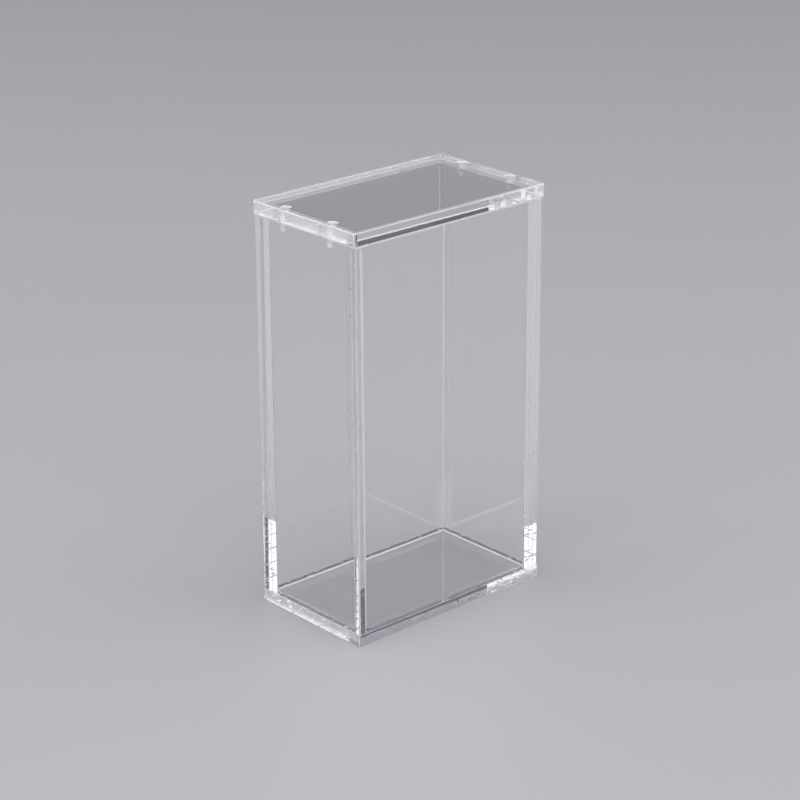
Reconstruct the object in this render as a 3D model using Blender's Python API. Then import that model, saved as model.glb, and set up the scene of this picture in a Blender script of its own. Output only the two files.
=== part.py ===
"""Clear acrylic card deck box: an upright case of cemented sheet panels with a lift-off lid.

Two long walls run the full width and hold the two end walls between them. All four stand on a base plate
that is all but flush with their outer faces. The lid plate, which reaches a little further out, lies on the
walls' top edges. Headed pins, pressed into the lid from above, drop into blind holes in the top edges of the
end walls and keep the lid square on the box.

Frame: metres, origin at the middle of the base's underside, X along the long side, Y along the short side,
+Z up. The front wall faces -Y.
"""

import math

import bmesh
import bpy

# Outer size of the closed box
BOX_WIDTH = 0.090
BOX_DEPTH = 0.055
BOX_HEIGHT = 0.155

# Sheet panels
BASE_THICKNESS = 0.005
LID_THICKNESS = 0.005
LONG_WALL_THICKNESS = 0.005
END_WALL_THICKNESS = 0.005
LID_OVERHANG = 0.0004
BASE_OVERHANG = 0.00015
PLATE_CORNER_RADIUS = 0.0006
PLATE_CORNER_STEPS = 4
PLATE_EDGE_ROUND = 0.0004
WALL_EDGE_CHAMFER = 0.0004
EDGE_ROUND_STEPS = 2
BOND_GAP = 0.0003
LID_SEAT_GAP = 0.0003

# Lid pins, one pair at each end of the lid
PIN_SHANK_DIAMETER = 0.0023
PIN_HEAD_DIAMETER = 0.0037
PIN_HEAD_RIM = 0.0006
PIN_HEAD_CONE = 0.0010
PIN_HEAD_SINK = 0.0001
PIN_HEAD_EDGE_ROUND = 0.0003
PIN_REACH = 0.0030
PIN_PITCH = 0.025
PIN_CLEARANCE = 0.0002
PIN_HOLE_SPARE_DEPTH = 0.0005
DRILL_POINT_ANGLE = math.radians(118)
PIN_SIDES = 32
PIN_TIP_STEPS = 6
PIN_HEAD_EDGE_STEPS = 3
CUTTER_RISE = 0.002

# Clear cast acrylic
ACRYLIC_TINT = (0.93, 0.95, 0.98, 1.0)
PIN_TINT = (0.95, 0.95, 0.97, 1.0)
ACRYLIC_IOR = 1.49
PANEL_ROUGHNESS = 0.03
PIN_ROUGHNESS = 0.08

# Places that follow from the sizes above
LONG_WALL_LENGTH = BOX_WIDTH - 2 * LID_OVERHANG
BODY_DEPTH = BOX_DEPTH - 2 * LID_OVERHANG
BASE_WIDTH = LONG_WALL_LENGTH + 2 * BASE_OVERHANG
BASE_DEPTH = BODY_DEPTH + 2 * BASE_OVERHANG
END_WALL_LENGTH = BODY_DEPTH - 2 * (LONG_WALL_THICKNESS + BOND_GAP)
LID_UNDERSIDE = BOX_HEIGHT - LID_THICKNESS
WALL_FOOT = BASE_THICKNESS + BOND_GAP
WALL_HEIGHT = LID_UNDERSIDE - LID_SEAT_GAP - WALL_FOOT
LONG_WALL_Y = (BODY_DEPTH - LONG_WALL_THICKNESS) / 2
END_WALL_X = (LONG_WALL_LENGTH - END_WALL_THICKNESS) / 2
HALF_TURN = math.pi

SMOOTH_LIMIT = math.radians(30)
LEVEL_MATCH = 1e-6


def clear_scene():
    """Remove every object, so that the script always starts from nothing."""
    for thing in list(bpy.data.objects):
        bpy.data.objects.remove(thing, do_unlink=True)


def acrylic(name, tint, roughness):
    """Return a clear acrylic material."""
    material = bpy.data.materials.new(name)
    material.use_nodes = True
    shader = material.node_tree.nodes["Principled BSDF"]
    shader.inputs["Base Color"].default_value = tint
    shader.inputs["Roughness"].default_value = roughness
    shader.inputs["Metallic"].default_value = 0.0
    shader.inputs["IOR"].default_value = ACRYLIC_IOR
    shader.inputs["Transmission Weight"].default_value = 1.0
    return material


def add_anchor(name, height):
    """Return an empty on the box's middle line, to carry the pieces of one body."""
    anchor = bpy.data.objects.new(name, None)
    anchor.location = (0.0, 0.0, height)
    bpy.context.scene.collection.objects.link(anchor)
    return anchor


def add_piece(name, mesh, anchor, place, turn=0.0):
    """Link a mesh as one named object, placed and turned about Z in its anchor's frame."""
    piece = bpy.data.objects.new(name, mesh)
    piece.parent = anchor
    piece.location = place
    piece.rotation_euler = (0.0, 0.0, turn)
    bpy.context.scene.collection.objects.link(piece)
    return piece


def to_mesh(shape, name):
    """Turn a bmesh into a mesh with its faces pointing out, smooth across shallow angles."""
    bmesh.ops.recalc_face_normals(shape, faces=shape.faces)
    mesh = bpy.data.meshes.new(name)
    shape.to_mesh(mesh)
    shape.free()
    mesh.shade_smooth()
    mesh.set_sharp_from_angle(angle=SMOOTH_LIMIT)
    return mesh


def arc(centre, radius, start, end, steps):
    """Return points along an arc, both ends included."""
    angles = [start + (end - start) * step / steps for step in range(steps + 1)]
    return [(centre[0] + radius * math.cos(a), centre[1] + radius * math.sin(a)) for a in angles]


def rounded_rectangle(width, depth, radius, steps):
    """Return a rectangle's outline with rounded corners, anticlockwise."""
    points = []
    for quarter, (side_x, side_y) in enumerate(((1, 1), (-1, 1), (-1, -1), (1, -1))):
        centre = (side_x * (width / 2 - radius), side_y * (depth / 2 - radius))
        start = quarter * math.pi / 2
        points += arc(centre, radius, start, start + math.pi / 2, steps)
    return points


def rectangle(width, depth):
    """Return a rectangle's outline, anticlockwise."""
    return [(x * width / 2, y * depth / 2) for x, y in ((1, 1), (-1, 1), (-1, -1), (1, -1))]


def extrude(outline, height):
    """Raise an outline from Z 0 to the given height and return the closed bmesh."""
    shape = bmesh.new()
    floor = shape.faces.new([shape.verts.new((x, y, 0.0)) for x, y in outline])
    raised = bmesh.ops.extrude_face_region(shape, geom=[floor])
    top = [item for item in raised["geom"] if isinstance(item, bmesh.types.BMVert)]
    bmesh.ops.translate(shape, verts=top, vec=(0.0, 0.0, height))
    return shape


def edges_at(shape, axis, level):
    """Return the edges that lie wholly at one level along an axis."""
    return [
        edge for edge in shape.edges
        if all(abs(vert.co[axis] - level) < LEVEL_MATCH for vert in edge.verts)
    ]


def turned(profile):
    """Spin a profile of (radius, height) points, from axis to axis, into a closed bmesh."""
    shape = bmesh.new()
    first_pole = shape.verts.new((0.0, 0.0, profile[0][1]))
    last_pole = shape.verts.new((0.0, 0.0, profile[-1][1]))
    turns = [2 * math.pi * side / PIN_SIDES for side in range(PIN_SIDES)]
    rings = [
        [shape.verts.new((radius * math.cos(a), radius * math.sin(a), height)) for a in turns]
        for radius, height in profile[1:-1]
    ]
    for side in range(PIN_SIDES):
        after = (side + 1) % PIN_SIDES
        shape.faces.new((first_pole, rings[0][side], rings[0][after]))
        for upper, lower in zip(rings, rings[1:]):
            shape.faces.new((upper[side], lower[side], lower[after], upper[after]))
        shape.faces.new((last_pole, rings[-1][after], rings[-1][side]))
    return shape


def plate_mesh(name, width, depth, thickness, round_levels):
    """Make a base or lid plate on Z 0: round corners, and a small round along the rims at the given levels."""
    outline = rounded_rectangle(width, depth, PLATE_CORNER_RADIUS, PLATE_CORNER_STEPS)
    shape = extrude(outline, thickness)
    rims = [edge for level in round_levels for edge in edges_at(shape, 2, level)]
    bmesh.ops.bevel(
        shape, geom=rims, offset=PLATE_EDGE_ROUND, segments=EDGE_ROUND_STEPS, profile=0.5, affect="EDGES"
    )
    return to_mesh(shape, name)


def long_wall_mesh(name):
    """Make a long wall standing on Z 0 with its outer face towards -Y: its free edges are broken."""
    shape = extrude(rectangle(LONG_WALL_LENGTH, LONG_WALL_THICKNESS), WALL_HEIGHT)
    outer_face = edges_at(shape, 1, -LONG_WALL_THICKNESS / 2)
    foot = edges_at(shape, 2, 0.0)
    free = set(outer_face + edges_at(shape, 2, WALL_HEIGHT)) - set(foot)
    bmesh.ops.bevel(shape, geom=list(free), offset=WALL_EDGE_CHAMFER, segments=1, affect="EDGES")
    return to_mesh(shape, name)


def end_wall_mesh(name):
    """Make an end wall standing on Z 0 with its outer face towards -X: its two long top edges are broken."""
    shape = extrude(rectangle(END_WALL_THICKNESS, END_WALL_LENGTH), WALL_HEIGHT)
    top = edges_at(shape, 2, WALL_HEIGHT)
    ends = edges_at(shape, 1, -END_WALL_LENGTH / 2) + edges_at(shape, 1, END_WALL_LENGTH / 2)
    free = set(top) - set(ends)
    bmesh.ops.bevel(shape, geom=list(free), offset=WALL_EDGE_CHAMFER, segments=1, affect="EDGES")
    return to_mesh(shape, name)


def pin_mesh(name):
    """Make a lid pin hanging from Z 0, the lid's top: flat head, cone, shank and round tip."""
    head = PIN_HEAD_DIAMETER / 2
    shank = PIN_SHANK_DIAMETER / 2
    top = -PIN_HEAD_SINK
    tip = -(LID_THICKNESS + LID_SEAT_GAP + PIN_REACH)
    edge_centre = (head - PIN_HEAD_EDGE_ROUND, top - PIN_HEAD_EDGE_ROUND)
    profile = [(0.0, top)]
    profile += arc(edge_centre, PIN_HEAD_EDGE_ROUND, math.pi / 2, 0.0, PIN_HEAD_EDGE_STEPS)
    profile.append((head, top - PIN_HEAD_RIM))
    profile.append((shank, top - PIN_HEAD_RIM - PIN_HEAD_CONE))
    profile += arc((0.0, tip + shank), shank, 0.0, -math.pi / 2, PIN_TIP_STEPS)[:-1]
    profile.append((0.0, tip))
    return to_mesh(turned(profile), name)


def drill_mesh(name):
    """Make the shape drilled for a pin: head recess, clear hole through the lid, and a blind hole below."""
    head = PIN_HEAD_DIAMETER / 2 + PIN_CLEARANCE
    shank = PIN_SHANK_DIAMETER / 2 + PIN_CLEARANCE
    recess = -(PIN_HEAD_SINK + PIN_HEAD_RIM + PIN_CLEARANCE)
    hole_end = -(LID_THICKNESS + LID_SEAT_GAP + PIN_REACH + PIN_HOLE_SPARE_DEPTH)
    point = shank / math.tan(DRILL_POINT_ANGLE / 2)
    profile = [
        (0.0, CUTTER_RISE),
        (head, CUTTER_RISE),
        (head, recess),
        (shank, recess - PIN_HEAD_CONE),
        (shank, hole_end),
        (0.0, hole_end - point),
    ]
    return to_mesh(turned(profile), name)


def cut(piece, cutter):
    """Take a cutter's shape out of a piece."""
    boolean = piece.modifiers.new(f"hole_{cutter.name}", "BOOLEAN")
    boolean.operation = "DIFFERENCE"
    boolean.solver = "EXACT"
    boolean.object = cutter


def add_box(anchor):
    """Build the cemented box and return its end walls by side. The base's cemented rim stays square."""
    mesh = plate_mesh("base_plate", BASE_WIDTH, BASE_DEPTH, BASE_THICKNESS, (0.0,))
    base = add_piece("base_plate", mesh, anchor, (0.0, 0.0, 0.0))
    base.data.materials.append(acrylic("base_plate_acrylic", ACRYLIC_TINT, PANEL_ROUGHNESS))
    for name, side, turn in (("front_wall", -1, 0.0), ("back_wall", 1, HALF_TURN)):
        place = (0.0, side * LONG_WALL_Y, WALL_FOOT)
        wall = add_piece(name, long_wall_mesh(name), anchor, place, turn)
        wall.data.materials.append(acrylic(f"{name}_acrylic", ACRYLIC_TINT, PANEL_ROUGHNESS))
    end_walls = {}
    for label, side, turn in (("left", -1, 0.0), ("right", 1, HALF_TURN)):
        name = f"{label}_end_wall"
        place = (side * END_WALL_X, 0.0, WALL_FOOT)
        wall = add_piece(name, end_wall_mesh(name), anchor, place, turn)
        wall.data.materials.append(acrylic(f"{name}_acrylic", ACRYLIC_TINT, PANEL_ROUGHNESS))
        end_walls[label] = wall
    return end_walls


def add_lid(anchor):
    """Build the lid plate, whose underside lies on its anchor."""
    mesh = plate_mesh("lid_plate", BOX_WIDTH, BOX_DEPTH, LID_THICKNESS, (0.0, LID_THICKNESS))
    lid = add_piece("lid_plate", mesh, anchor, (0.0, 0.0, 0.0))
    lid.data.materials.append(acrylic("lid_plate_acrylic", ACRYLIC_TINT, PANEL_ROUGHNESS))
    return lid


def add_pins(anchor, lid, end_walls):
    """Set a pin on the middle line of each end wall, twice, and drill the lid and the wall for it."""
    for label, side_x in (("left", -1), ("right", 1)):
        for end, side_y in (("front", -1), ("back", 1)):
            place = (side_x * END_WALL_X, side_y * PIN_PITCH / 2, LID_THICKNESS)
            name = f"pin_{label}_{end}"
            pin = add_piece(name, pin_mesh(name), anchor, place)
            pin.data.materials.append(acrylic(f"{name}_acrylic", PIN_TINT, PIN_ROUGHNESS))
            drill = add_piece(f"drill_{label}_{end}", drill_mesh(f"drill_{label}_{end}"), anchor, place)
            drill.hide_render = True
            drill.display_type = "WIRE"
            cut(lid, drill)
            cut(end_walls[label], drill)


def main():
    clear_scene()
    box_anchor = add_anchor("box_frame", 0.0)
    lid_anchor = add_anchor("lid_lift", LID_UNDERSIDE)
    end_walls = add_box(box_anchor)
    lid = add_lid(lid_anchor)
    add_pins(lid_anchor, lid, end_walls)


main()
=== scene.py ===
"""Looks of a clear acrylic card deck box.

Five panels of thick clear sheet are cemented into an open-topped box. A loose lid of the same sheet lies on
the walls, and four clear headed pins through it drop into holes in the end walls. Each panel and pin of the
frame is replaced by a mesh with finer edges, and each kind of surface on it has its own finish: the cast
faces of the sheet, the cut edges, the scraped edge breaks, the cemented joints and the drilled holes. Beads
of set cement run along the inside corners of the box.

Lengths are in metres, in the frame's own axes: X along the long side, Y from front to back, Z up.
"""

import logging
import math
from abc import ABC, abstractmethod
from dataclasses import dataclass, field
from enum import Enum, IntEnum

import bmesh
import bpy
from mathutils import Matrix, Vector, noise


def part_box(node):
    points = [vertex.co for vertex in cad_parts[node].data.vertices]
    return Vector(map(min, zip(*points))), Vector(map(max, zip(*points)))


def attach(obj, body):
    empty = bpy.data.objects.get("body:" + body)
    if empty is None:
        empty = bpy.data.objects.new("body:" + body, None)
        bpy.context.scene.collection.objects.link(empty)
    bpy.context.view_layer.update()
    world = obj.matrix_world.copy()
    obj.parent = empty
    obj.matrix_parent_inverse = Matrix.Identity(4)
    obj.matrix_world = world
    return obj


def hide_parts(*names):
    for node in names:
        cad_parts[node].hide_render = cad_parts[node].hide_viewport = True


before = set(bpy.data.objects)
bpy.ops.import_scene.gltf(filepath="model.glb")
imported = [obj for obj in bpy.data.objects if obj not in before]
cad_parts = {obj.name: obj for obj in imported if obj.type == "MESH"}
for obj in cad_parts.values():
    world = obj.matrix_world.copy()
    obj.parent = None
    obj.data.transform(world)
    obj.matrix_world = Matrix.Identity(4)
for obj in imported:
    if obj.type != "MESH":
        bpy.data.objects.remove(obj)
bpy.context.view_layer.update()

MM = 0.001

# The least cosine between two directions that count as the same
FLAT = 0.999
# The distance below which two points count as the same
SAME_POINT = 0.001 * MM

log = logging.getLogger("card_deck_box")

Colour = tuple[float, float, float, float]
Points = list[tuple[float, float]]

WHITE: Colour = (1.0, 1.0, 1.0, 1.0)
CLEAR: Colour = (0.98, 0.98, 0.99, 1.0)
BRIGHT_EDGE: Colour = (0.97, 0.965, 0.99, 1.0)


class Axis(IntEnum):
    """The frame's axes, as indices into a vector."""

    X = 0
    Y = 1
    Z = 2


class Side(Enum):
    """The six sides of a panel, each with the direction that it faces."""

    LEFT = (-1, 0, 0)
    RIGHT = (1, 0, 0)
    FRONT = (0, -1, 0)
    BACK = (0, 1, 0)
    UNDER = (0, 0, -1)
    TOP = (0, 0, 1)

    @classmethod
    def facing(cls, normal: Vector) -> "Side | None":
        """Find the side that a face looks to.

        Args:
            normal: The face's normal.

        Returns:
            The side, or None where the face is slanted or curved.
        """
        for side in cls:
            if normal.dot(side.direction) > FLAT:
                return side
        return None

    @property
    def direction(self) -> Vector:
        """Return the direction that the side faces."""
        return Vector(self.value)

    @property
    def across(self) -> "Side":
        """Return the opposite side."""
        return Side(tuple(-value for value in self.value))


END_SIDES = (Side.LEFT, Side.RIGHT)
LONG_SIDES = (Side.FRONT, Side.BACK)
WALL_NODES = {
    Side.FRONT: "front_wall",
    Side.BACK: "back_wall",
    Side.LEFT: "left_end_wall",
    Side.RIGHT: "right_end_wall",
}


class Surface(IntEnum):
    """The kinds of surface on a panel, numbered as its material slots are."""

    SHEET = 0
    EDGE = 1
    BROKEN = 2
    CEMENTED = 3
    HALF_WET = 4
    DRILLED = 5
    DULL_EDGE = 6


class Body(Enum):
    """The frame's moving bodies."""

    BOX = "box"
    LID = "lid"


class Slot(Enum):
    """The record's material slots."""

    PANEL = "clear_panel"
    PIN = "clear_pin"


@dataclass(frozen=True)
class Space:
    """A rectangular space with its sides along the axes."""

    low: Vector
    high: Vector

    @classmethod
    def of_node(cls, node: str) -> "Space":
        """Return the space that a node of the frame fills at rest."""
        low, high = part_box(node)
        return cls(Vector(low), Vector(high))

    @property
    def centre(self) -> Vector:
        """Return the middle of the space."""
        return (self.low + self.high) / 2

    def spanning(self, axis: Axis, low: float, high: float) -> "Space":
        """Return a copy that runs from low to high along one axis.

        Args:
            axis: The axis to change.
            low: The new lowest coordinate.
            high: The new highest coordinate.

        Returns:
            The changed copy.
        """
        start, end = self.low.copy(), self.high.copy()
        start[axis], end[axis] = low, high
        return Space(start, end)

    def shrunk(self, x: float = 0.0, y: float = 0.0, z: float = 0.0) -> "Space":
        """Return a copy drawn in by the given amounts at both ends of each axis."""
        inset = Vector((x, y, z))
        return Space(self.low + inset, self.high - inset)

    def corner(self, *sides: Side) -> tuple[float, float]:
        """Return X and Y of the corner on the given sides, and on the left and front where none is given."""
        x = self.high.x if Side.RIGHT in sides else self.low.x
        y = self.high.y if Side.BACK in sides else self.low.y
        return x, y

    def holds(self, point: Vector) -> bool:
        """Say whether a point lies in the space."""
        return all(low <= value <= high for low, value, high in zip(self.low, point, self.high))


@dataclass(frozen=True)
class Joint:
    """A joint of two faces: a thin space that holds both, and what the cement made of them."""

    space: Space
    surface: Surface = Surface.CEMENTED


def arc(centre: tuple[float, float], radius: float, start: float, end: float, steps: int) -> Points:
    """Walk along a circular arc.

    Args:
        centre: The arc's centre.
        radius: The arc's radius.
        start: The angle of the first point, in degrees.
        end: The angle of the last point, in degrees.
        steps: The number of straight steps.

    Returns:
        The points from start to end, both among them.
    """
    points = []
    for step in range(steps + 1):
        angle = math.radians(start + (end - start) * step / steps)
        points.append((centre[0] + radius * math.cos(angle), centre[1] + radius * math.sin(angle)))
    return points


def turned_mesh(profile: Points, steps: int) -> bmesh.types.BMesh:
    """Turn a profile round the Z axis into a closed body.

    Args:
        profile: Radius and height of each point, from the axis at the bottom to the axis at the top.
        steps: The number of steps round the axis.

    Returns:
        The turned body, with smooth faces that point out.
    """
    shape = bmesh.new()
    points = [shape.verts.new((radius, 0.0, height)) for radius, height in profile]
    edges = [shape.edges.new(pair) for pair in zip(points, points[1:])]
    bmesh.ops.spin(shape, geom=points + edges, axis=(0, 0, 1), angle=math.tau, steps=steps, use_merge=True)
    bmesh.ops.remove_doubles(shape, verts=shape.verts, dist=SAME_POINT)
    bmesh.ops.recalc_face_normals(shape, faces=shape.faces)
    for face in shape.faces:
        face.smooth = True
    return shape


def add_object(name: str, shape: bmesh.types.BMesh) -> bpy.types.Object:
    """Put a finished shape into the scene.

    Args:
        name: The object's name.
        shape: The shape, which is freed.

    Returns:
        The new object.
    """
    mesh = bpy.data.meshes.new(name)
    shape.to_mesh(mesh)
    shape.free()
    piece = bpy.data.objects.new(name, mesh)
    bpy.context.scene.collection.objects.link(piece)
    return piece


def tie_to_frame(piece: bpy.types.Object, body: Body, node: str | None = None) -> None:
    """Tie a piece to the frame and report it.

    Args:
        piece: The piece.
        body: The body that it rides on.
        node: The node that it replaces, if there is one.
    """
    if node:
        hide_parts(node)
    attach(piece, body.value)
    log.info("%s: %d faces, rides on %s", piece.name, len(piece.data.polygons), body.value)


class Graph:
    """A node tree with short calls for adding nodes and wiring them."""

    # Where a colour mix has its sockets, among those that the Mix node has for every kind of value
    mix_inputs: tuple[int, int, int] = (0, 6, 7)
    mix_output: int = 2

    def __init__(self, tree: bpy.types.NodeTree) -> None:
        """Take over a node tree, emptied."""
        self.tree = tree
        tree.nodes.clear()

    def node(self, kind: str, inputs: dict | None = None, **settings: object) -> bpy.types.Node:
        """Add a node.

        Args:
            kind: The node's type.
            inputs: Values or sockets for its inputs, by name or number.
            settings: The node's own properties.

        Returns:
            The new node.
        """
        node = self.tree.nodes.new(kind)
        for name, value in settings.items():
            setattr(node, name, value)
        for key, value in (inputs or {}).items():
            self.feed(node.inputs[key], value)
        return node

    def feed(self, socket: bpy.types.NodeSocket, value: object) -> None:
        """Link a socket to another one, or set its value."""
        if isinstance(value, bpy.types.NodeSocket):
            self.tree.links.new(value, socket)
        else:
            socket.default_value = value

    def math(self, operation: str, *values: object) -> bpy.types.NodeSocket:
        """Add a Math node and return its output."""
        return self.node("ShaderNodeMath", dict(enumerate(values)), operation=operation).outputs[0]

    def vector_math(self, operation: str, *values: object) -> bpy.types.Node:
        """Add a Vector Math node and return it."""
        return self.node("ShaderNodeVectorMath", dict(enumerate(values)), operation=operation)

    def place(self) -> bpy.types.NodeSocket:
        """Return the place on the object, in metres."""
        return self.node("ShaderNodeTexCoord").outputs["Object"]

    def noise(self, inputs: dict, detail: float, **settings: object) -> bpy.types.NodeSocket:
        """Add a Noise Texture, at a scale of 1 where its inputs give none, and return its value."""
        inputs = {"Scale": 1.0, "Detail": detail, **inputs}
        return self.node("ShaderNodeTexNoise", inputs, **settings).outputs[0]

    def ramp(self, value: object, start: object, end: object,
             low: object = 0.0, high: object = 1.0) -> bpy.types.NodeSocket:
        """Map a value smoothly from one range to another.

        Args:
            value: The value to map.
            start: Where the range begins.
            end: Where the range ends.
            low: The result at the beginning.
            high: The result at the end.

        Returns:
            The mapped value.
        """
        inputs = {"Value": value, "From Min": start, "From Max": end, "To Min": low, "To Max": high}
        return self.node("ShaderNodeMapRange", inputs, interpolation_type="SMOOTHSTEP").outputs["Result"]

    def blend(self, factor: object, first: object, second: object) -> bpy.types.NodeSocket:
        """Mix two colours and return the result."""
        inputs = dict(zip(self.mix_inputs, (factor, first, second)))
        return self.node("ShaderNodeMix", inputs, data_type="RGBA").outputs[self.mix_output]


class Effect(ABC):
    """An effect that several finishes share, as one node group."""

    name: str
    inputs: dict[str, tuple[str, object]]
    outputs: dict[str, str]

    def __init__(self) -> None:
        """Make the group, its sockets and its nodes."""
        self.group = bpy.data.node_groups.new(self.name, "ShaderNodeTree")
        graph = Graph(self.group)
        for label, (kind, default) in self.inputs.items():
            socket = self.group.interface.new_socket(label, in_out="INPUT", socket_type=kind)
            socket.default_value = default
        for label, kind in self.outputs.items():
            self.group.interface.new_socket(label, in_out="OUTPUT", socket_type=kind)
        source = graph.node("NodeGroupInput")
        graph.node("NodeGroupOutput", self.wire(graph, source.outputs))

    @abstractmethod
    def wire(self, graph: Graph, given: bpy.types.NodeOutputs) -> dict[str, bpy.types.NodeSocket]:
        """Add the effect's nodes.

        Args:
            graph: The group's nodes.
            given: The group's inputs.

        Returns:
            The sockets that feed the group's outputs.
        """

    def place(self, graph: Graph, **values: object) -> bpy.types.NodeOutputs:
        """Put the effect into a material.

        Args:
            graph: The material's nodes.
            values: The effect's inputs.

        Returns:
            The effect's outputs.
        """
        return graph.node("ShaderNodeGroup", values, node_tree=self.group).outputs


class Specks(Effect):
    """Round specks scattered at random: dust on a face, or bubbles in a joint."""

    name = "specks"
    inputs = {
        "Spacing": ("NodeSocketFloat", 4 * MM),
        "Share": ("NodeSocketFloat", 0.2),
        "Size": ("NodeSocketFloat", 0.1),
    }
    outputs = {"Mask": "NodeSocketFloat"}
    least_size: float = 0.35
    core_share: float = 0.6

    def wire(self, graph: Graph, given: bpy.types.NodeOutputs) -> dict[str, bpy.types.NodeSocket]:
        """Keep a share of the cells of a cell pattern, and draw a spot of its own size in each.

        Args:
            graph: The group's nodes.
            given: The group's inputs.

        Returns:
            The mask, 1 in a speck.
        """
        scale = graph.math("DIVIDE", 1.0, given["Spacing"])
        cells = graph.node("ShaderNodeTexVoronoi", {"Vector": graph.place(), "Scale": scale})
        chance = graph.node("ShaderNodeSeparateColor", {0: cells.outputs["Color"]})
        kept = graph.math("LESS_THAN", chance.outputs[0], given["Share"])
        radius = graph.math("MULTIPLY", given["Size"], graph.math("ADD", self.least_size, chance.outputs[1]))
        core = graph.math("MULTIPLY", radius, self.core_share)
        spot = graph.ramp(cells.outputs["Distance"], core, radius, 1.0, 0.0)
        return {"Mask": graph.math("MULTIPLY", spot, kept)}


class Hairlines(Effect):
    """Long thin scratches from wiping and handling."""

    name = "hairlines"
    inputs = {
        "Turn": ("NodeSocketVector", (0.0, 0.0, 0.0)),
        "Length": ("NodeSocketFloat", 150 * MM),
        "Apart": ("NodeSocketFloat", 3 * MM),
        "Width": ("NodeSocketFloat", 0.01),
    }
    outputs = {"Mask": "NodeSocketFloat"}
    level: float = 0.5
    patch_scale: float = 0.6
    patch_edge: tuple[float, float] = (0.52, 0.62)

    def wire(self, graph: Graph, given: bpy.types.NodeOutputs) -> dict[str, bpy.types.NodeSocket]:
        """Draw the level lines of a stretched noise and rub most of them out.

        Args:
            graph: The group's nodes.
            given: The group's inputs.

        Returns:
            The mask, 1 in a scratch.
        """
        turned = graph.node("ShaderNodeVectorRotate", {"Vector": graph.place(), "Rotation": given["Turn"]},
                            rotation_type="EULER_XYZ").outputs[0]
        along = graph.math("DIVIDE", 1.0, given["Length"])
        across = graph.math("DIVIDE", 1.0, given["Apart"])
        stretch = graph.node("ShaderNodeCombineXYZ", {0: along, 1: across, 2: across}).outputs[0]
        stretched = graph.vector_math("MULTIPLY", turned, stretch).outputs[0]
        height = graph.noise({"Vector": stretched}, detail=0.0)
        offset = graph.math("ABSOLUTE", graph.math("SUBTRACT", height, self.level))
        line = graph.ramp(offset, 0.0, given["Width"], 1.0, 0.0)
        patches = graph.noise({"Vector": stretched, "Scale": self.patch_scale}, detail=2.0)
        return {"Mask": graph.math("MULTIPLY", line, graph.ramp(patches, *self.patch_edge))}


class ToolLines(Effect):
    """Fine uneven lines that a cutter leaves across its run."""

    name = "tool_lines"
    inputs = {
        "Run": ("NodeSocketVector", (1.0, 0.0, 0.0)),
        "Pitch": ("NodeSocketFloat", 0.4 * MM),
    }
    outputs = {"Height": "NodeSocketFloat", "Patches": "NodeSocketFloat"}
    slow_share: float = 0.03
    patch_edge: tuple[float, float] = (0.35, 0.65)

    def wire(self, graph: Graph, given: bpy.types.NodeOutputs) -> dict[str, bpy.types.NodeSocket]:
        """Make a height that changes only along the cutter's run, and slow patches of more and less of it.

        Args:
            graph: The group's nodes.
            given: The group's inputs.

        Returns:
            The lines' height and the patches, both from 0 to 1.
        """
        along = graph.vector_math("DOT_PRODUCT", graph.place(), given["Run"]).outputs["Value"]
        steps = graph.math("DIVIDE", along, given["Pitch"])
        lines = graph.noise({"W": steps}, detail=3.0, noise_dimensions="1D")
        slow = graph.math("MULTIPLY", steps, self.slow_share)
        patches = graph.noise({"W": slow}, detail=2.0, noise_dimensions="1D")
        return {"Height": lines, "Patches": graph.ramp(patches, *self.patch_edge)}


class CastWaves(Effect):
    """The slight unevenness of cast sheet, which bends reflections a little."""

    name = "cast_waves"
    inputs = {"Size": ("NodeSocketFloat", 30 * MM)}
    outputs = {"Height": "NodeSocketFloat"}

    def wire(self, graph: Graph, given: bpy.types.NodeOutputs) -> dict[str, bpy.types.NodeSocket]:
        """Make a slow rolling height.

        Args:
            graph: The group's nodes.
            given: The group's inputs.

        Returns:
            The height, from 0 to 1.
        """
        scale = graph.math("DIVIDE", 1.0, given["Size"])
        return {"Height": graph.noise({"Vector": graph.place(), "Scale": scale}, detail=1.0)}


@dataclass(frozen=True)
class Effects:
    """The shared effects, each made once."""

    specks: Specks = field(default_factory=Specks)
    hairlines: Hairlines = field(default_factory=Hairlines)
    tool_lines: ToolLines = field(default_factory=ToolLines)
    cast_waves: CastWaves = field(default_factory=CastWaves)


@dataclass(frozen=True)
class Marks:
    """What a finish changes over its surface."""

    colour: bpy.types.NodeSocket
    roughness: bpy.types.NodeSocket
    height: bpy.types.NodeSocket
    alpha: bpy.types.NodeSocket | None = None


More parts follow.
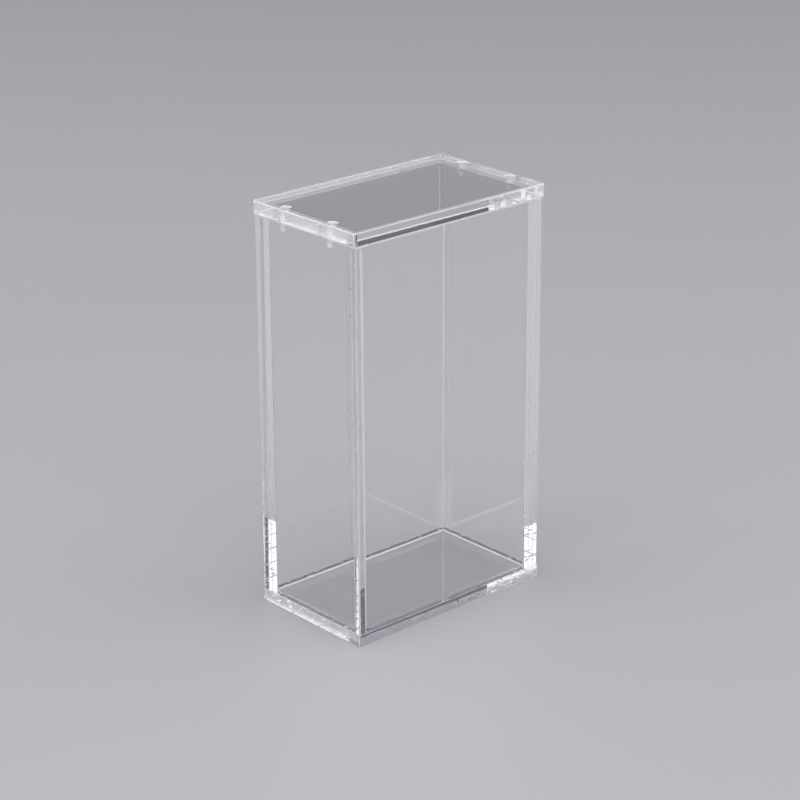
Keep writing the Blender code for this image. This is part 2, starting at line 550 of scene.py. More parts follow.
@dataclass(frozen=True)
class ClearFinish(ABC):
    """A surface of clear acrylic.

    The surface refracts for the camera and for mirrored and refracted rays. Lamps shine straight through it,
    less where they graze it, so that the panels' edges shade the floor.
    """

    name: str
    tint: Colour
    roughness: float
    relief: float
    transmission: float = 1.0
    ior: float = 1.49
    lit_through: Colour = (0.97, 0.972, 0.978, 1.0)
    lit_grazing: Colour = (0.30, 0.31, 0.34, 1.0)
    grazing_power: float = 3.0

    @abstractmethod
    def marks(self, graph: Graph, effects: Effects) -> Marks:
        """Lay out what changes over the surface.

        Args:
            graph: The material's nodes.
            effects: The shared effects.

        Returns:
            The sockets for colour, roughness and height, and for alpha where the surface has gaps.
        """

    def material(self, effects: Effects) -> bpy.types.Material:
        """Make the finish's material.

        Args:
            effects: The shared effects.

        Returns:
            The new material.
        """
        material = bpy.data.materials.new(self.name)
        material.use_nodes = True
        graph = Graph(material.node_tree)
        marks = self.marks(graph, effects)
        bump = graph.node("ShaderNodeBump", {"Distance": self.relief, "Height": marks.height}).outputs[0]
        inputs = {
            "Base Color": marks.colour,
            "Roughness": marks.roughness,
            "Normal": bump,
            "IOR": self.ior,
            "Transmission Weight": self.transmission,
        }
        if marks.alpha is not None:
            inputs["Alpha"] = marks.alpha
        surface = graph.node("ShaderNodeBsdfPrincipled", inputs).outputs[0]
        facing = graph.node("ShaderNodeLayerWeight", {"Blend": 0.5}).outputs["Facing"]
        grazing = graph.math("POWER", facing, self.grazing_power)
        passed = graph.blend(grazing, self.lit_through, self.lit_grazing)
        through = graph.node("ShaderNodeBsdfTransparent", {"Color": passed}).outputs[0]
        path = graph.node("ShaderNodeLightPath").outputs
        for ray in ("Is Diffuse Ray", "Is Shadow Ray"):
            surface = graph.node("ShaderNodeMixShader", {0: path[ray], 1: surface, 2: through}).outputs[0]
        graph.node("ShaderNodeOutputMaterial", {"Surface": surface})
        return material


@dataclass(frozen=True)
class CastSheet(ClearFinish):
    """The sheet's own cast faces: glass-smooth, with dust, a few hairlines and slow waves."""

    dust_spacing: float = 5 * MM
    dust_share: float = 0.22
    dust_size: float = 0.035
    dust_roughness: float = 0.7
    dust_colour: Colour = (0.92, 0.92, 0.93, 1.0)
    scratch_turn: tuple[float, float, float] = (0.4, 0.9, 0.3)
    scratch_roughness: float = 0.08

    def marks(self, graph: Graph, effects: Effects) -> Marks:
        """Add dust, hairlines and waves.

        Args:
            graph: The material's nodes.
            effects: The shared effects.

        Returns:
            The sockets for colour, roughness and height.
        """
        dust = effects.specks.place(
            graph, Spacing=self.dust_spacing, Share=self.dust_share, Size=self.dust_size)["Mask"]
        scratch = effects.hairlines.place(graph, Turn=self.scratch_turn)["Mask"]
        waves = effects.cast_waves.place(graph)["Height"]
        dusty = graph.math("MULTIPLY_ADD", dust, self.dust_roughness, self.roughness)
        return Marks(
            colour=graph.blend(dust, self.tint, self.dust_colour),
            roughness=graph.math("MULTIPLY_ADD", scratch, self.scratch_roughness, dusty),
            height=waves,
        )


class Trace(Enum):
    """What a tool leaves behind, named as the outputs of its effect are."""

    LINES = "Height"
    PATCHES = "Patches"


@dataclass(frozen=True)
class ToolMarked(ClearFinish):
    """A surface with the fine lines that a tool left across its run.

    With the lines, or with slow patches of them, the tint fades to worn_tint and the roughness grows by up to
    worn_roughness.
    """

    run: tuple[float, float, float] = (1.0, 1.0, 1.0)
    pitch: float = 1 * MM
    worn_tint: Colour = WHITE
    worn_roughness: float = 0.1
    tint_by: Trace = Trace.PATCHES
    roughness_by: Trace = Trace.PATCHES

    def marks(self, graph: Graph, effects: Effects) -> Marks:
        """Add the tool's lines.

        Args:
            graph: The material's nodes.
            effects: The shared effects.

        Returns:
            The sockets for colour, roughness and height.
        """
        traces = effects.tool_lines.place(graph, Run=self.run, Pitch=self.pitch)
        worn = traces[self.roughness_by.value]
        return Marks(
            colour=graph.blend(traces[self.tint_by.value], self.tint, self.worn_tint),
            roughness=graph.math("MULTIPLY_ADD", worn, self.worn_roughness, self.roughness),
            height=traces[Trace.LINES.value],
        )


@dataclass(frozen=True)
class CutEdge(ToolMarked):
    """A sawn edge, milled bright or left dull, with duller patches where the cutter dragged."""

    run: tuple[float, float, float] = (1.0, 1.0, 0.15)
    pitch: float = 0.5 * MM
    worn_tint: Colour = (0.90, 0.89, 0.95, 1.0)
    worn_roughness: float = 0.03


@dataclass(frozen=True)
class ScrapedBreak(ToolMarked):
    """An edge broken with a scraper: narrow, silky and a little uneven from its chatter."""

    pitch: float = 3 * MM
    tint_by: Trace = Trace.LINES


@dataclass(frozen=True)
class DrilledBore(ToolMarked):
    """The wall of a drilled hole: silky and whitish, with the drill's rings."""

    run: tuple[float, float, float] = (0.05, 0.05, 1.0)
    pitch: float = 0.25 * MM
    roughness_by: Trace = Trace.LINES


@dataclass(frozen=True)
class MouldedPin(ToolMarked):
    """A moulded clear pin: smooth, with faint rings from its mould."""

    run: tuple[float, float, float] = (0.0, 0.0, 1.0)
    pitch: float = 0.35 * MM
    worn_roughness: float = 0.06
    roughness_by: Trace = Trace.LINES


@dataclass(frozen=True)
class CementedFace(ClearFinish):
    """A face wetted by the cement: it is gone, apart from small bubbles and patches that stayed dry."""

    bubble_spacing: float = 2.2 * MM
    bubble_share: float = 0.3
    bubble_size: float = 0.09
    bubble_alpha: float = 0.7
    bubble_roughness: float = 0.4
    patch_size: float = 2.5 * MM
    patch_level: float = 0.74
    patch_rim: float = 0.02

    def marks(self, graph: Graph, effects: Effects) -> Marks:
        """Leave nothing but bubbles and dry patches.

        Args:
            graph: The material's nodes.
            effects: The shared effects.

        Returns:
            The sockets for colour, roughness, height and alpha.
        """
        bubble = effects.specks.place(
            graph, Spacing=self.bubble_spacing, Share=self.bubble_share, Size=self.bubble_size)["Mask"]
        uneven = effects.cast_waves.place(graph, Size=self.patch_size)["Height"]
        dry = graph.ramp(uneven, self.patch_level, self.patch_level + self.patch_rim)
        spots = graph.math("MULTIPLY", bubble, self.bubble_alpha)
        return Marks(
            colour=graph.blend(bubble, self.tint, WHITE),
            roughness=graph.math("MULTIPLY_ADD", bubble, self.bubble_roughness, self.roughness),
            height=bubble,
            alpha=graph.math("MAXIMUM", spots, dry),
        )


@dataclass(frozen=True)
class SetCement(ClearFinish):
    """Cement that ran out of a joint and set there: clear and glossy, with small ripples."""

    ripple_size: float = 1.6 * MM
    ripple_roughness: float = 0.08

    def marks(self, graph: Graph, effects: Effects) -> Marks:
        """Add the ripples.

        Args:
            graph: The material's nodes.
            effects: The shared effects.

        Returns:
            The sockets for colour, roughness and height.
        """
        ripples = effects.cast_waves.place(graph, Size=self.ripple_size)["Height"]
        return Marks(
            colour=graph.blend(ripples, self.tint, WHITE),
            roughness=graph.math("MULTIPLY_ADD", ripples, self.ripple_roughness, self.roughness),
            height=ripples,
        )


class Finishes:
    """The materials of the box, made once from their finishes."""

    def __init__(self) -> None:
        """Make the shared effects and the materials."""
        effects = Effects()
        sheet = CastSheet("cast_sheet", (0.985, 0.988, 0.995, 1.0), roughness=0.0, relief=0.0003 * MM)
        plate_edge = CutEdge("plate_edge", BRIGHT_EDGE, roughness=0.01, relief=0.0003 * MM)
        wall_edge = CutEdge("wall_edge", BRIGHT_EDGE, roughness=0.01, relief=0.0003 * MM,
                            run=(0.15, 0.15, 1.0))
        wall_top = CutEdge("wall_top", (0.95, 0.945, 0.975, 1.0), roughness=0.3, relief=0.001 * MM,
                           transmission=0.35)
        plate_end = CutEdge("plate_end", CLEAR, roughness=0.08, relief=0.0003 * MM, transmission=0.85)
        broken = ScrapedBreak("scraped_break", (0.96, 0.96, 0.98, 1.0), roughness=0.2, relief=0.002 * MM,
                              transmission=0.6)
        cemented = CementedFace("cemented_face", CLEAR, roughness=0.02, relief=0.005 * MM)
        half_wet = CementedFace("half_wet_face", CLEAR, roughness=0.0, relief=0.001 * MM, patch_level=0.37)
        drilled = DrilledBore("drilled_bore", CLEAR, roughness=0.1, relief=0.002 * MM, transmission=0.3)
        bead = SetCement("set_cement", CLEAR, roughness=0.08, relief=0.006 * MM, transmission=0.25)
        pin = MouldedPin("moulded_pin", (0.97, 0.97, 0.985, 1.0), roughness=0.05, relief=0.002 * MM,
                         transmission=0.6)
        shared = [finish.material(effects) for finish in (broken, cemented, half_wet, drilled)]
        cast = sheet.material(effects)
        self.plate = [cast, plate_edge.material(effects), *shared, plate_end.material(effects)]
        self.wall = [cast, wall_edge.material(effects), *shared, wall_top.material(effects)]
        self.bead = [bead.material(effects), shared[1]]
        self.pin = pin.material(effects)


@dataclass(frozen=True)
class Bore:
    """A hole drilled down from above, with a recess for a pin's head."""

    x: float
    y: float
    profile: Points
    steps: int = 64

    def cutter(self) -> bpy.types.Object:
        """Return a new object that a panel is cut with."""
        shape = turned_mesh(self.profile, self.steps)
        for face in shape.faces:
            face.material_index = Surface.DRILLED
        shape.transform(Matrix.Translation((self.x, self.y, 0.0)))
        return add_object("drill", shape)


@dataclass
class Panel:
    """A panel of clear sheet that stands for one solid of the frame.

    Edges are broken by edge_break, and those along a cemented joint by their own width in seams. A panel with
    a plan radius has round upright corners, and only the rims at its faces in rims are broken.
    """

    name: str
    node: str
    body: Body
    space: Space
    across: Axis
    edge_break: float
    seams: dict[frozenset[Side], float] = field(default_factory=dict)
    plan_radius: float = 0.0
    rims: dict[Side, float] = field(default_factory=dict)
    rim_steps: int = 1
    joints: list[Joint] = field(default_factory=list)
    bores: list[Bore] = field(default_factory=list)
    dull_edges: tuple[Side, ...] = ()
    corner_steps: int = 8

    def outline(self) -> Points:
        """Return the panel's plan, counter-clockwise."""
        low, high = self.space.low, self.space.high
        if not self.plan_radius:
            return [(low.x, low.y), (high.x, low.y), (high.x, high.y), (low.x, high.y)]
        inner = self.space.shrunk(self.plan_radius, self.plan_radius)
        centres = [(inner.high.x, inner.high.y), (inner.low.x, inner.high.y),
                   (inner.low.x, inner.low.y), (inner.high.x, inner.low.y)]
        points = []
        for quarter, centre in enumerate(centres):
            start = 90 * quarter
            points += arc(centre, self.plan_radius, start, start + 90, self.corner_steps)
        return points

    def edge_width(self, edge: bmesh.types.BMEdge) -> float:
        """Say how widely an edge of the blank is broken.

        Args:
            edge: The edge, between two faces.

        Returns:
            The width, 0 between the facets of a round corner.
        """
        sides = frozenset(Side.facing(face.normal) for face in edge.link_faces)
        if self.plan_radius:
            return max((width for face, width in self.rims.items() if face in sides), default=0.0)
        return self.seams.get(sides, self.edge_break)

    def blank(self) -> bpy.types.Object:
        """Return the panel as cut from the sheet, with each edge's break as its bevel weight."""
        shape = bmesh.new()
        floor = [shape.verts.new((x, y, self.space.low.z)) for x, y in self.outline()]
        under = shape.faces.new(floor)
        grown = bmesh.ops.extrude_face_region(shape, geom=[under])["geom"]
        raised = [item for item in grown if isinstance(item, bmesh.types.BMVert)]
        bmesh.ops.translate(shape, verts=raised, vec=(0.0, 0.0, self.space.high.z - self.space.low.z))
        bmesh.ops.recalc_face_normals(shape, faces=shape.faces)
        weight = shape.edges.layers.float.new("bevel_weight_edge")
        for edge in shape.edges:
            edge[weight] = self.edge_width(edge) / self.edge_break
        return add_object(self.name, shape)

    def machined(self, piece: bpy.types.Object) -> None:
        """Break the blank's edges and drill it.

        Args:
            piece: The blank, whose mesh is replaced.
        """
        for _ in Surface:
            piece.data.materials.append(None)
        bevel = piece.modifiers.new("edge_breaks", "BEVEL")
        bevel.limit_method = "WEIGHT"
        bevel.width = self.edge_break
        bevel.segments = self.rim_steps
        bevel.material = Surface.BROKEN
        bevel.use_clamp_overlap = False
        cutters = [bore.cutter() for bore in self.bores]
        for cutter in cutters:
            drill = piece.modifiers.new("drill", "BOOLEAN")
            drill.object = cutter
            drill.solver = "EXACT"
            drill.material_mode = "INDEX"
        evaluated = piece.evaluated_get(bpy.context.evaluated_depsgraph_get())
        mesh = bpy.data.meshes.new_from_object(evaluated)
        blank_mesh = piece.data
        piece.modifiers.clear()
        piece.data = mesh
        mesh.name = self.name
        bpy.data.meshes.remove(blank_mesh)
        for cutter in cutters:
            bpy.data.meshes.remove(cutter.data)

    def split_at_joints(self, shape: bmesh.types.BMesh) -> None:
        """Cut the panel's flat faces along the edges of its cemented joints.

        Args:
            shape: The panel.
        """
        for joint in self.joints:
            for axis in Axis:
                square = Vector((0.0, 0.0, 0.0))
                square[axis] = 1.0
                for corner in (joint.space.low, joint.space.high):
                    self.split_face(shape, joint.space, corner, square)

    @staticmethod
    def split_face(shape: bmesh.types.BMesh, space: Space, corner: Vector, square: Vector) -> None:
        """Cut the faces that lie in a joint's plane with one plane square to it.

        Args:
            shape: The panel.
            space: The joint's space.
            corner: A point on the cutting plane.
            square: The cutting plane's normal.
        """
        thin = min(Axis, key=lambda axis: space.high[axis] - space.low[axis])
        if square[thin]:
            return
        faces = [face for face in shape.faces if abs(face.normal[thin]) > FLAT
                 and space.low[thin] <= face.calc_center_median()[thin] <= space.high[thin]]
        edges = {edge for face in faces for edge in face.edges}
        points = {point for face in faces for point in face.verts}
        bmesh.ops.bisect_plane(shape, geom=[*faces, *edges, *points], plane_co=corner, plane_no=square,
                               dist=SAME_POINT / 2)

    def sort_faces(self, shape: bmesh.types.BMesh) -> None:
        """Give each face its kind of surface, and shade the round ones smooth.

        Args:
            shape: The panel.
        """
        for face in shape.faces:
            if face.material_index == Surface.DRILLED:
                continue
            face.smooth = Side.facing(face.normal) is None and bool(self.plan_radius)
            if face.material_index == Surface.BROKEN:
                continue
            middle = face.calc_center_median()
            joint = next((joint for joint in self.joints if joint.space.holds(middle)), None)
            if joint:
                face.material_index = joint.surface
            elif abs(face.normal[self.across]) > FLAT:
                face.material_index = Surface.SHEET
            elif Side.facing(face.normal) in self.dull_edges:
                face.material_index = Surface.DULL_EDGE
            else:
                face.material_index = Surface.EDGE

    def build(self) -> bpy.types.Object:
        """Build the panel.

        Returns:
            The panel's object, with its faces sorted by kind of surface.
        """
        piece = self.blank()
        self.machined(piece)
        shape = bmesh.new()
        shape.from_mesh(piece.data)
        self.split_at_joints(shape)
        self.sort_faces(shape)
        shape.to_mesh(piece.data)
        shape.free()
        return piece

    def dress(self, piece: bpy.types.Object, materials: list[bpy.types.Material]) -> None:
        """Give the panel its materials and tie it to the frame.

        Args:
            piece: The panel's object.
            materials: One material for each kind of surface.
        """
        for kind in Surface:
            piece.data.materials[kind] = materials[kind]
        tie_to_frame(piece, self.body, self.node)


@dataclass
class PinHole:
    """The places and sizes of the lid's pins and of the holes that they drop into."""

    columns: dict[Side, float]
    rows: dict[Side, float]
    lid_top: float
    tip: float
    head_radius: float
    shank_radius: float = 1.15 * MM
    sunk: float = 0.1 * MM
    head_rim: float = 0.6 * MM
    head_cone: float = 1.0 * MM
    edge_round: float = 0.3 * MM
    clearance: float = 0.2 * MM
    spare_depth: float = 0.8 * MM
    cutter_rise: float = 1 * MM
    tip_steps: int = 8
    edge_steps: int = 5

    @property
    def pin_profile(self) -> Points:
        """Return half of a pin's outline, from its tip to the middle of its head."""
        top = self.lid_top - self.sunk
        tip_centre = (0.0, self.tip + self.shank_radius)
        cone_top = top - self.head_rim
        points = arc(tip_centre, self.shank_radius, -90.0, 0.0, self.tip_steps)
        points += [(self.shank_radius, cone_top - self.head_cone), (self.head_radius, cone_top)]
        rim_centre = (self.head_radius - self.edge_round, top - self.edge_round)
        points += arc(rim_centre, self.edge_round, 0.0, 90.0, self.edge_steps)
        return points + [(0.0, top)]

    @property
    def bore_profile(self) -> Points:
        """Return half of the outline of a hole, from its round bottom to above the lid."""
        radius = self.shank_radius + self.clearance
        recess = self.head_radius + self.clearance
        cone_top = self.lid_top - self.sunk - self.head_rim
        above = self.lid_top + self.cutter_rise
        nose = arc((0.0, self.tip - self.spare_depth + radius), radius, -90.0, 0.0, self.tip_steps)
        return [*nose, (radius, cone_top - self.head_cone), (recess, cone_top), (recess, above), (0.0, above)]

    def bores(self, *ends: Side) -> list[Bore]:
        """Return the holes at some of the box's ends."""
        return [Bore(self.columns[end], y, self.bore_profile) for end in ends for y in self.rows.values()]


@dataclass
class CementBead:
    """A bead of cement that ran out along an inside corner, between two faces that meet there.

    It is thicker here and thinner there, as cement that runs by itself is. The two faces are wetted by it up
    to wetted from the corner. A mitred bead leaves room at its ends for the beads along the next walls.
    """

    name: str
    start: Vector
    along: Vector
    length: float
    first: Vector
    second: Vector
    mitred: bool
    leg: float = 0.45 * MM
    wetted: float = 0.25 * MM
    off: float = 0.01 * MM
    contact: float = 15.0
    step: float = 0.6 * MM
    arc_steps: int = 5
    sway: tuple[tuple[float, float], ...] = ((11 * MM, 0.12), (1.7 * MM, 0.22))

    def leg_at(self, place: float) -> float:
        """Return the bead's leg at a place along it."""
        point = self.start + self.along * place
        swell = sum(share * noise.noise(point / size) for size, share in self.sway)
        return self.leg * (1.0 + swell)

    def section(self, leg: float) -> Points:
        """Return the bead's outline square to its run.

        Args:
            leg: How far the bead reaches along either face.

        Returns:
            Distances along the two faces: the corner, and then the hollow from one face to the other.
        """
        lean = math.radians(self.contact)
        radius = leg / (math.cos(lean) - math.sin(lean))
        centre = radius * math.cos(lean) + self.off
        hollow = arc((centre, centre), radius, 270.0 - self.contact, 180.0 + self.contact, self.arc_steps)
        return [(self.off, self.off), *hollow]

    def ring(self, shape: bmesh.types.BMesh, place: float) -> list[bmesh.types.BMVert]:
        """Add the points of the bead's outline at one place along it.

        Args:
            shape: The bead.
            place: The distance from the bead's start.

        Returns:
            The new points.
        """
        points = []
        for first, second in self.section(self.leg_at(place)):
            inset = first + self.off if self.mitred else 0.0
            run = min(max(place, inset), self.length - inset)
            points.append(shape.verts.new(
                self.start + self.along * run + self.first * first + self.second * second))
        return points

    def build(self) -> bpy.types.Object:
        """Build the bead.

        Returns:
            The bead's object, with its wetted faces in the second material slot.
        """
        shape = bmesh.new()
        count = round(self.length / self.step)
        rings = [self.ring(shape, self.length * index / count) for index in range(count + 1)]
        for ring, after in zip(rings, rings[1:]):
            for index in range(len(ring)):
                beside = (index + 1) % len(ring)
                face = shape.faces.new((ring[index], ring[beside], after[beside], after[index]))
                face.material_index = int(index == 0 or beside == 0)
                face.smooth = not face.material_index
        shape.faces.new(rings[0])
        shape.faces.new(rings[-1])
        bmesh.ops.recalc_face_normals(shape, faces=shape.faces)
        return add_object(self.name, shape)

    def wetted_strip(self, across: Vector, normal: Vector) -> Joint:
        """Return the bead's joint with one of the two faces.

        Args:
            across: The direction along the face, away from the corner.
            normal: The direction square to the face.

        Returns:
            The joint.
        """
        corner = self.start + self.along * self.length + across * self.wetted
        depth = Vector(abs(value) for value in normal) * self.off
        low = Vector(min(pair) for pair in zip(self.start, corner))
        high = Vector(max(pair) for pair in zip(self.start, corner))
        return Joint(Space(low - depth, high + depth))

    def dress(self, piece: bpy.types.Object, materials: list[bpy.types.Material]) -> None:
        """Give the bead its materials and tie it to the box.

        Args:
            piece: The bead's object.
            materials: The bead's own material and that of its wetted faces.
        """
        for material in materials:
            piece.data.materials.append(material)
        tie_to_frame(piece, Body.BOX)


@dataclass
class DeckBox:
    """The cemented box: a base plate, four walls and the beads of cement inside their corners."""

    base: Space
    walls: dict[str, Space]
    lid_under: float
    pins: PinHole
    glue_line: float = 0.02 * MM
    side_reach: float = 0.03 * MM
    rest_gap: float = 0.05 * MM
    edge_break: float = 0.45 * MM
    foot_seam: float = 0.0
    foot_rim: float = 0.12 * MM
    upright_seam: float = 0.1 * MM
    rim_radius: float = 0.4 * MM
    rim_steps: int = 4
    corner_radius: float = 0.5 * MM
    bead_rise: float = 0.8 * MM
    bead_stop: float = 2 * MM

    def wall_spaces(self) -> dict[str, Space]:
        """Return the walls' spaces, carried through the cement and up to the lid."""
        foot = self.base.high.z + self.glue_line
        head = self.lid_under - self.rest_gap
        spaces = {node: space.spanning(Axis.Z, foot, head) for node, space in self.walls.items()}
        front = spaces["front_wall"].high.y + self.glue_line
        back = spaces["back_wall"].low.y - self.glue_line
        for node in ("left_end_wall", "right_end_wall"):
            spaces[node] = spaces[node].spanning(Axis.Y, front, back)
        return spaces

    def foot_joint(self, wall: Space) -> Joint:
        """Return the joint between a wall's foot and the base, which the cement only half filled."""
        low, high = self.base.high.z - self.glue_line / 2, wall.low.z + self.glue_line / 2
        area = wall.shrunk(self.foot_seam, self.foot_seam).spanning(Axis.Z, low, high)
        return Joint(area, Surface.HALF_WET)

    def side_joint(self, end_wall: Space, face: float) -> Joint:
        """Return the joint between an end wall's side and a long wall.

        Args:
            end_wall: The end wall's space.
            face: Y of the end wall's side.

        Returns:
            The joint.
        """
        area = end_wall.shrunk(self.upright_seam, 0.0, self.foot_seam)
        thin = area.spanning(Axis.Y, face - self.side_reach, face + self.side_reach)
        return Joint(thin.spanning(Axis.Z, thin.low.z, end_wall.high.z - self.edge_break))

    def base_panel(self) -> Panel:
        """Return the base, as yet without its joints."""
        rims = {Side.TOP: self.foot_rim, Side.UNDER: self.rim_radius}
        return Panel("base_panel", "base_plate", Body.BOX, self.base, Axis.Z, self.rim_radius,
                     plan_radius=self.corner_radius, rims=rims, rim_steps=self.rim_steps,
                     dull_edges=END_SIDES)

    def wall_panel(self, side: Side, space: Space) -> Panel:
        """Lay out one wall.

        Args:
            side: The side of the box that the wall is on.
            space: The wall's space.

        Returns:
            The wall with its edges, its holes and the joint at its foot.
        """
        node = WALL_NODES[side]
        across = Axis.Y if side in LONG_SIDES else Axis.X
        seams = {frozenset((Side.UNDER, face)): self.foot_seam for face in WALL_NODES}
        for end in END_SIDES:
            for row in LONG_SIDES:
                pair = (side.across, end) if side in LONG_SIDES else (end, row)
                seams[frozenset(pair)] = self.upright_seam
        if side in END_SIDES:
            seams.update({frozenset((Side.TOP, row)): self.upright_seam for row in LONG_SIDES})
        bores = self.pins.bores(side) if side in END_SIDES else []
        return Panel(node.replace("wall", "panel"), node, Body.BOX, space, across, self.edge_break, seams,
                     joints=[self.foot_joint(space)], bores=bores, dull_edges=(Side.TOP,))

    def panels(self) -> dict[str, Panel]:
        """Lay out the base and the walls with their joints.

        Returns:
            The five panels, by node.
        """
        spaces = self.wall_spaces()
        panels = {node: self.wall_panel(side, spaces[node]) for side, node in WALL_NODES.items()}
        base = self.base_panel()
        base.joints = [wall.joints[0] for wall in panels.values()]
        for end in END_SIDES:
            space = spaces[WALL_NODES[end]]
            for row, face in ((Side.FRONT, space.low.y), (Side.BACK, space.high.y)):
                joint = self.side_joint(space, face)
                panels[WALL_NODES[end]].joints.append(joint)
                panels[WALL_NODES[row]].joints.append(joint)
        return {base.node: base, **panels}

    def room(self) -> Space:
        """Return the space inside the walls."""
        spaces = self.wall_spaces()
        low = Vector((spaces["left_end_wall"].high.x, spaces["front_wall"].high.y, self.base.high.z))
        high = Vector((spaces["right_end_wall"].low.x, spaces["back_wall"].low.y, spaces["back_wall"].high.z))
        return Space(low, high)

    def foot_bead(self, side: Side) -> CementBead:
        """Lay out the bead at the foot of a wall."""
        room = self.room()
        along = Axis.X if side in LONG_SIDES else Axis.Y
        run = Vector((0.0, 0.0, 0.0))
        run[along] = 1.0
        start = Vector((*room.corner(side), room.low.z))
        return CementBead(f"{side.name.lower()}_foot_bead", start, run, room.high[along] - room.low[along],
                          -side.direction, Side.TOP.direction, mitred=True)

    def upright_bead(self, end: Side, row: Side) -> CementBead:
        """Lay out the bead in an upright corner, between an end wall and a long wall."""
        room = self.room()
        start = Vector((*room.corner(end, row), room.low.z + self.bead_rise))
        length = room.high.z - self.bead_stop - start.z
        return CementBead(f"{end.name.lower()}_{row.name.lower()}_bead", start, Side.TOP.direction, length,
                          -end.direction, -row.direction, mitred=False)

    def beads(self, panels: dict[str, Panel]) -> list[CementBead]:
        """Lay out the beads of cement and wet the panels beneath them.

        Args:
            panels: The panels, by node.

        Returns:
            The beads at the walls' feet and in the upright corners.
        """
        beads = []
        for side, node in WALL_NODES.items():
            bead = self.foot_bead(side)
            panels["base_plate"].joints.append(bead.wetted_strip(bead.first, bead.second))
            panels[node].joints.append(bead.wetted_strip(bead.second, bead.first))
            beads.append(bead)
        for end in END_SIDES:
            for row in LONG_SIDES:
                bead = self.upright_bead(end, row)
                panels[WALL_NODES[row]].joints.append(bead.wetted_strip(bead.first, bead.second))
                panels[WALL_NODES[end]].joints.append(bead.wetted_strip(bead.second, bead.first))
                beads.append(bead)
        return beads

    def make(self, finishes: Finishes) -> None:
        """Build and dress the box.

        Args:
            finishes: The materials.
        """
        panels = self.panels()
        beads = self.beads(panels)
        for panel in panels.values():
            panel.dress(panel.build(), finishes.plate if panel.plan_radius else finishes.wall)
        for bead in beads:
            bead.dress(bead.build(), finishes.bead)


@dataclass
class Lid:
    """The loose lid with its four pins."""

    space: Space
    pins: PinHole
    rim_radius: float = 0.4 * MM
    rim_steps: int = 4
    corner_radius: float = 0.9 * MM
    pin_steps: int = 64

    def make_plate(self, finishes: Finishes) -> None:
        """Build and dress the lid's plate.

        Args:
            finishes: The materials.
        """
        rims = {Side.TOP: self.rim_radius, Side.UNDER: self.rim_radius}
        panel = Panel("lid_panel", "lid_plate", Body.LID, self.space, Axis.Z, self.rim_radius,
                      plan_radius=self.corner_radius, rims=rims, rim_steps=self.rim_steps,
                      bores=self.pins.bores(*END_SIDES), dull_edges=END_SIDES)
        panel.dress(panel.build(), finishes.plate)

    def make_pin(self, end: Side, row: Side, finishes: Finishes) -> None:
        """Build and dress one pin.

        Args:
            end: The end of the lid that the pin is at.
            row: The row that the pin is in, front or back.
            finishes: The materials.
        """
        shape = turned_mesh(self.pins.pin_profile, self.pin_steps)
        for face in shape.faces:
            face.smooth = Side.facing(face.normal) is not Side.TOP
        shape.transform(Matrix.Translation((self.pins.columns[end], self.pins.rows[row], 0.0)))
        place = f"{end.name.lower()}_{row.name.lower()}"
        piece = add_object(f"{place}_pin", shape)
        piece.data.materials.append(finishes.pin)
        tie_to_frame(piece, Body.LID, f"pin_{place}")

    def make(self, finishes: Finishes) -> None:
        """Build and dress the lid and its pins.

        Args:
            finishes: The materials.
        """
        self.make_plate(finishes)
        for end in END_SIDES:
            for row in LONG_SIDES:
                self.make_pin(end, row, finishes)


@dataclass(frozen=True)
class Softbox:
    """A studio softbox that faces the middle of the box."""

    name: str
    bearing: float
    elevation: float
    distance: float = 1.9
    width: float = 3.1
    height: float = 1.9
    brightness: float = 1.0

    def make(self, target: Vector) -> None:
        """Hang the softbox.

        Args:
            target: The point that it faces.
        """
        lamp = bpy.data.lights.new(self.name, "AREA")
        lamp.shape = "RECTANGLE"
        lamp.size = self.width
        lamp.size_y = self.height
        lamp.energy = self.brightness * math.pi * self.width * self.height
        bearing, rise = math.radians(self.bearing), math.radians(self.elevation)
        level = math.cos(rise)
        away = Vector((math.cos(bearing) * level, math.sin(bearing) * level, math.sin(rise)))
        holder = bpy.data.objects.new(self.name, lamp)
        holder.location = target + away * self.distance
        holder.rotation_euler = (-away).to_track_quat("-Z", "Y").to_euler()
        holder.visible_camera = False
        bpy.context.scene.collection.objects.link(holder)


@dataclass(frozen=True)
class PhotoCamera:
    """A camera that stands where the photograph was taken from."""

    bearing: float = 41.894
    fall: float = 21.255
    roll: float = -0.273
    distance: float = 0.89068
    shift_right: float = -0.38 * MM
    shift_up: float = -1.68 * MM
    focal_pixels: float = 2437.0
    image_pixels: float = 800.0
    sensor: float = 36.0

    def make(self, target: Vector) -> None:
        """Set up the camera.

        Args:
            target: The middle of the object.
        """
        bearing, fall = math.radians(self.bearing), math.radians(self.fall)
        level = math.cos(fall)
        look = Vector((math.sin(bearing) * level, math.cos(bearing) * level, -math.sin(fall)))
        level_right = look.cross(Vector((0.0, 0.0, 1.0))).normalized()
        level_up = level_right.cross(look)
        lean, rise = math.cos(math.radians(self.roll)), math.sin(math.radians(self.roll))
        right = level_right * lean + level_up * rise
        up = level_up * lean - level_right * rise
        place = target + right * self.shift_right + up * self.shift_up - look * self.distance
        lens = bpy.data.cameras.new("photo_camera")
        lens.sensor_width = self.sensor
        lens.lens = self.sensor * self.focal_pixels / self.image_pixels
        camera = bpy.data.objects.new("photo_camera", lens)
        turn = Matrix((right, up, -look)).transposed().to_4x4()
        camera.matrix_world = Matrix.Translation(place) @ turn
        bpy.context.scene.collection.objects.link(camera)
        bpy.context.scene.camera = camera


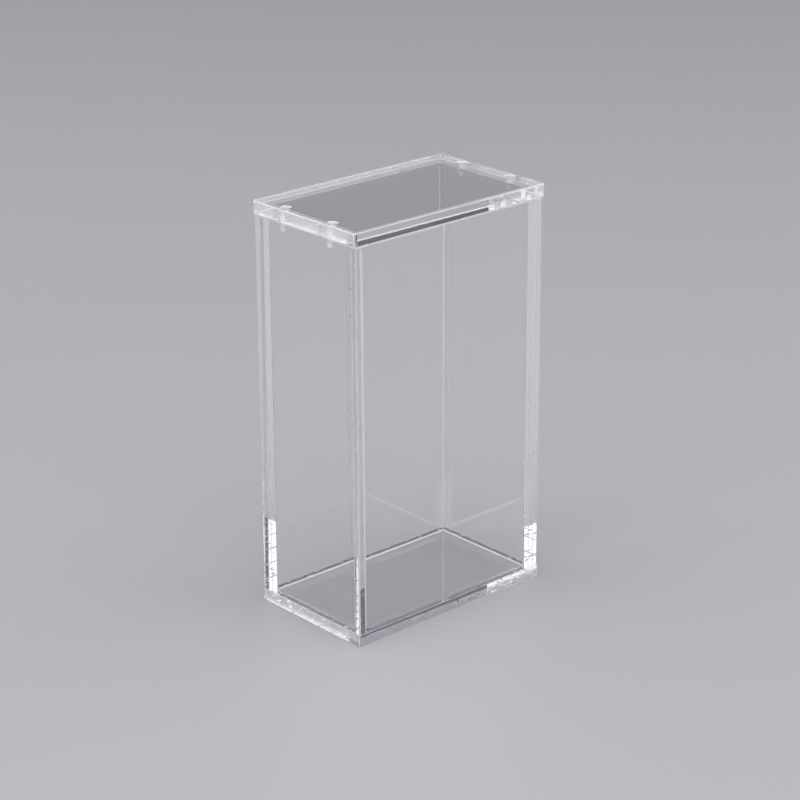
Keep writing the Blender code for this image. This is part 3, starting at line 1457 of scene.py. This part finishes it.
@dataclass
class Studio:
    """The floor, the lamps, the surroundings and the camera."""

    middle: Vector
    floor_colour: Colour = (0.49, 0.49, 0.503, 1.0)
    floor_half: float = 6.0
    floor_drop: float = 0.1 * MM
    floor_roughness: tuple[float, float] = (0.36, 0.44)
    grain_scale: float = 60.0
    grain_edge: tuple[float, float] = (0.3, 0.7)
    backdrop: Colour = (0.50, 0.50, 0.515, 1.0)
    ceiling: Colour = (0.10, 0.096, 0.12, 1.0)
    backdrop_top: float = 9.0
    ceiling_start: float = 18.0
    bounces: int = 48
    mirrored_bounces: int = 40
    refracted_bounces: int = 24
    softboxes: tuple[Softbox, ...] = (
        Softbox("right_softbox", bearing=-56.0, elevation=38.0),
        Softbox("left_softbox", bearing=140.0, elevation=38.0),
        Softbox("front_softbox", bearing=-132.0, elevation=55.0, distance=2.6, width=6.0, height=3.4,
                brightness=1.4),
    )

    def make_floor(self) -> None:
        """Lay the floor."""
        shape = bmesh.new()
        bmesh.ops.create_grid(shape, x_segments=1, y_segments=1, size=self.floor_half)
        floor = add_object("studio_floor", shape)
        floor.location.z = -self.floor_drop
        material = bpy.data.materials.new("studio_floor")
        material.use_nodes = True
        graph = Graph(material.node_tree)
        grain = graph.noise({"Scale": self.grain_scale}, detail=3.0)
        roughness = graph.ramp(grain, *self.grain_edge, *self.floor_roughness)
        inputs = {"Base Color": self.floor_colour, "Roughness": roughness}
        paper = graph.node("ShaderNodeBsdfPrincipled", inputs)
        graph.node("ShaderNodeOutputMaterial", {"Surface": paper.outputs[0]})
        floor.data.materials.append(material)

    def make_sky(self) -> None:
        """Surround the floor with a low pale backdrop, under a dim ceiling."""
        world = bpy.data.worlds.new("studio")
        world.use_nodes = True
        graph = Graph(world.node_tree)
        way = graph.node("ShaderNodeTexCoord").outputs["Generated"]
        rise = graph.node("ShaderNodeSeparateXYZ", {0: way}).outputs[2]
        low, high = (math.sin(math.radians(angle)) for angle in (self.backdrop_top, self.ceiling_start))
        colour = graph.blend(graph.ramp(rise, low, high), self.backdrop, self.ceiling)
        light = graph.node("ShaderNodeBackground", {"Color": colour, "Strength": 1.0})
        graph.node("ShaderNodeOutputWorld", {"Surface": light.outputs[0]})
        bpy.context.scene.world = world

    def set_light_paths(self) -> None:
        """Let light bounce often enough to run along inside the panels."""
        paths = bpy.context.scene.cycles
        paths.max_bounces = self.bounces
        paths.glossy_bounces = self.mirrored_bounces
        paths.transmission_bounces = self.refracted_bounces
        paths.transparent_max_bounces = self.bounces

    def make(self) -> None:
        """Set up the studio."""
        self.make_floor()
        self.make_sky()
        for softbox in self.softboxes:
            softbox.make(self.middle)
        PhotoCamera().make(self.middle)
        self.set_light_paths()
        bpy.context.scene.view_settings.view_transform = "Standard"


def main() -> None:
    """Build the box, its lid and the studio."""
    logging.basicConfig(level=logging.INFO, format="%(name)s: %(message)s")
    finishes = Finishes()
    base, lid = Space.of_node("base_plate"), Space.of_node("lid_plate")
    left_front, right_back = Space.of_node("pin_left_front"), Space.of_node("pin_right_back")
    pins = PinHole(
        columns={Side.LEFT: left_front.centre.x, Side.RIGHT: right_back.centre.x},
        rows={Side.FRONT: left_front.centre.y, Side.BACK: right_back.centre.y},
        lid_top=lid.high.z,
        tip=left_front.low.z,
        head_radius=(left_front.high.x - left_front.low.x) / 2,
    )
    walls = {node: Space.of_node(node) for node in WALL_NODES.values()}
    DeckBox(base, walls, lid.low.z, pins).make(finishes)
    Lid(lid, pins).make(finishes)
    Studio((base.low + lid.high) / 2).make()


if __name__ == "__main__":
    main()
